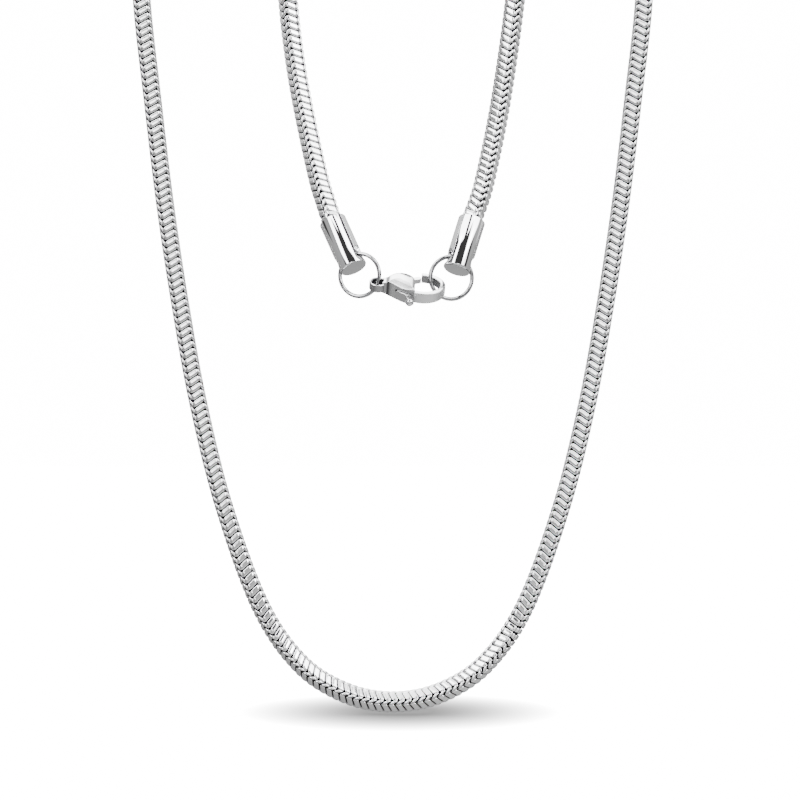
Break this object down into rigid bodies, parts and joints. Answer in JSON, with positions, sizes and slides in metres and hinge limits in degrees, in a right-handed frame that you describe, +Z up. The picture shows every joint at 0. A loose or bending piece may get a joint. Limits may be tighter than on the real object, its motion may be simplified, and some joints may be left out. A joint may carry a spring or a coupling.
{
  "type": "snake chain necklace",
  "caption": "Polished steel snake chain necklace in one closed loop, with drilled cylinder end caps, jump rings and a lobster clasp with a sprung lever.",
  "frame": {"origin": "midway between the two upper bends of the chain, at the height of their undersides, where the necklace hangs on what holds it up", "axes": "+X to the right as seen from the front, +Z up the necklace, -Y towards the viewer: the clasp hangs in front of the loop, and the loop's front lies in the plane Y = 0"},
  "size_m": [0.1005, 0.0236, 0.1598],
  "materials": {
    "chain_steel": "bright polished stainless steel links",
    "cap_steel": "polished stainless steel",
    "ring_steel": "polished stainless steel wire",
    "clasp_steel": "cast stainless steel, polished on top and satin on the sides",
    "lever_steel": "polished stainless steel"
  },
  "bodies": {
    "necklace": {"chain_left": "chain_steel", "chain_right": "chain_steel", "end_cap_left": "cap_steel", "end_cap_right": "cap_steel", "jump_ring_left": "ring_steel", "jump_ring_right": "ring_steel", "clasp_body": "clasp_steel"},
    "lever": {"clasp_lever": "lever_steel"}
  },
  "joints": [
    {"name": "lever_pivot", "type": "hinge", "parent": "necklace", "child": "lever", "pos_m": [0.00149, -0.01666, -0.07502], "axis": [-0.0658, 0.5446, -0.8361], "range_deg": [0, 30], "stiffness_Nm_per_rad": 0.005, "springref_deg": -20.05}
  ]
}
